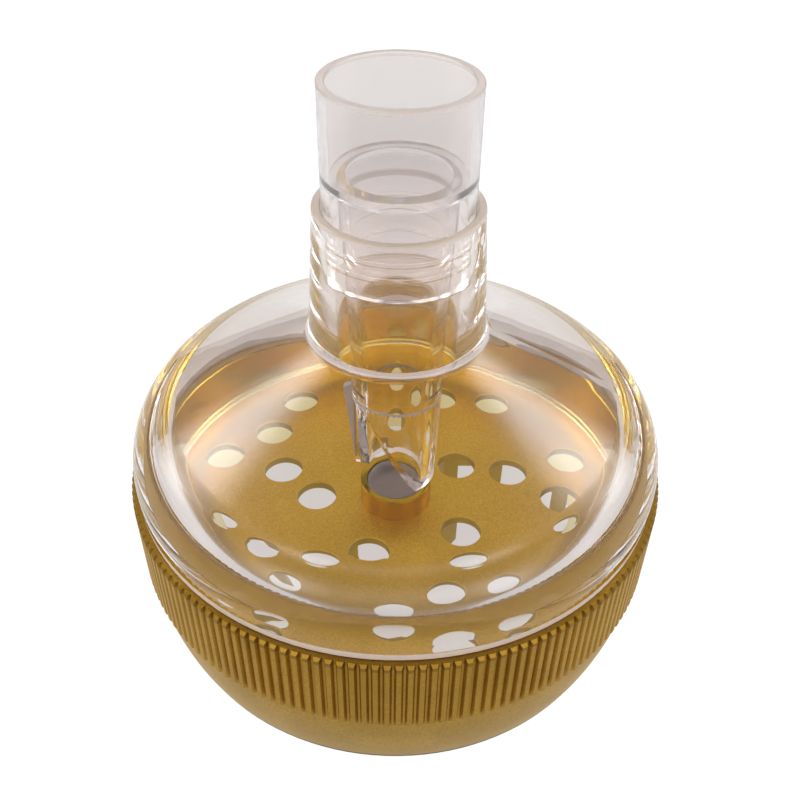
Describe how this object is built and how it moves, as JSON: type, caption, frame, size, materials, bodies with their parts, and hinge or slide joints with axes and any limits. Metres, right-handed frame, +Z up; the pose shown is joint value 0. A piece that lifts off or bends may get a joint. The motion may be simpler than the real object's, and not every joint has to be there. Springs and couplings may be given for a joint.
{
  "type": "herb grinder section",
  "caption": "Knurled gold aluminium grinder ring with a perforated toothed plate, magnet boss, clear push-on dome lid and a clear filling spout with a scoop window.",
  "frame": {"origin": "centre of the base rim, on the surface that the grinder stands on", "axes": "+Z up along the axis, through the spout's mouth; -Y towards the picture's viewer; +X to the viewer's right"},
  "size_m": [0.063, 0.063, 0.0661],
  "materials": {
    "gold_ring": "satin gold anodised",
    "gold_plate": "blasted gold anodised",
    "gold_cup": "bright turned gold anodised",
    "magnet": "satin nickel plate",
    "clear_lid": "clear gloss",
    "clear_spout": "clear gloss"
  },
  "bodies": {
    "base": {"ring": "gold_ring", "tooth_plate": "gold_plate", "magnet_cup": "gold_cup", "magnet": "magnet"},
    "lid": {"lid": "clear_lid"},
    "spout": {"spout": "clear_spout"}
  },
  "joints": [
    {"name": "lid_lift", "type": "slide", "parent": "base", "child": "lid", "axis": [0, 0, 1], "range_m": [0, 0.03]},
    {"name": "spout_turn", "type": "hinge", "parent": "lid", "child": "spout", "pos_m": [0, 0, 0.05], "axis": [0, 0, 1], "continuous": true}
  ]
}
